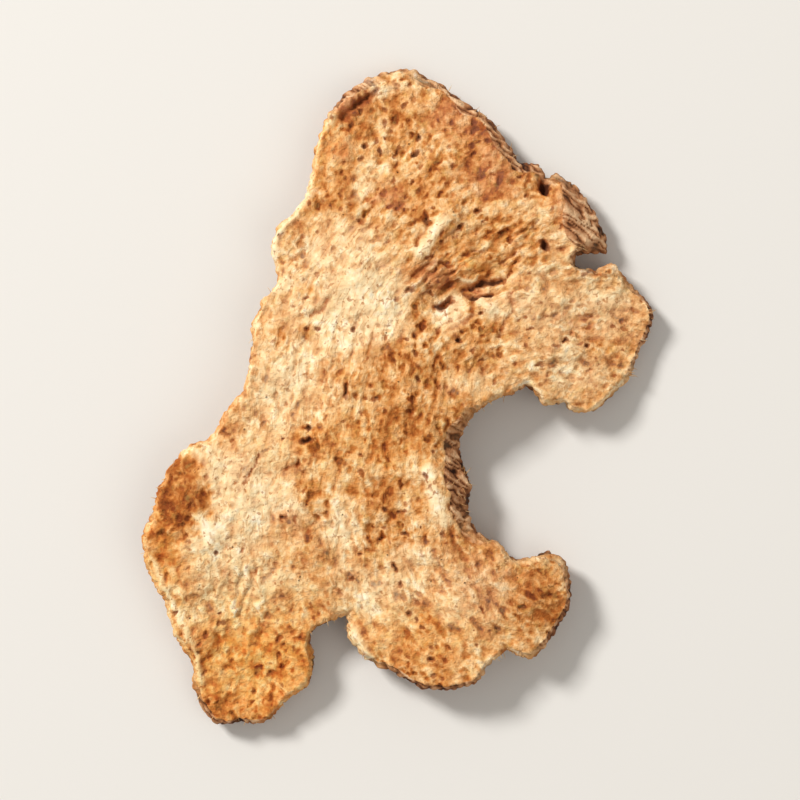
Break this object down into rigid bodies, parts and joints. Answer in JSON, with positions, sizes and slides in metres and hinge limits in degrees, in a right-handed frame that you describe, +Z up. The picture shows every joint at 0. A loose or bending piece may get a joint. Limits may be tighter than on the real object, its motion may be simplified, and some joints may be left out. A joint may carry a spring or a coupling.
{
  "type": "dried atractylodes slice",
  "caption": "Lobed slice of dried atractylodes root, thin and slightly curled, with a pale pitted cut face and a bark rim, lying on its three lobes.",
  "frame": {"origin": "on the surface the slice lies on, under the middle of its box", "axes": "+Z up from the surface, through the thickness; +Y along the length, towards the crown; +X towards the bay"},
  "size_m": [0.0522, 0.0674, 0.0072],
  "materials": {
    "dried_root": "matt, pitted and fibrous cut face, wrinkled bark round the rim"
  },
  "bodies": {
    "root": {"atractylodes_slice": "dried_root"}
  },
  "joints": []
}
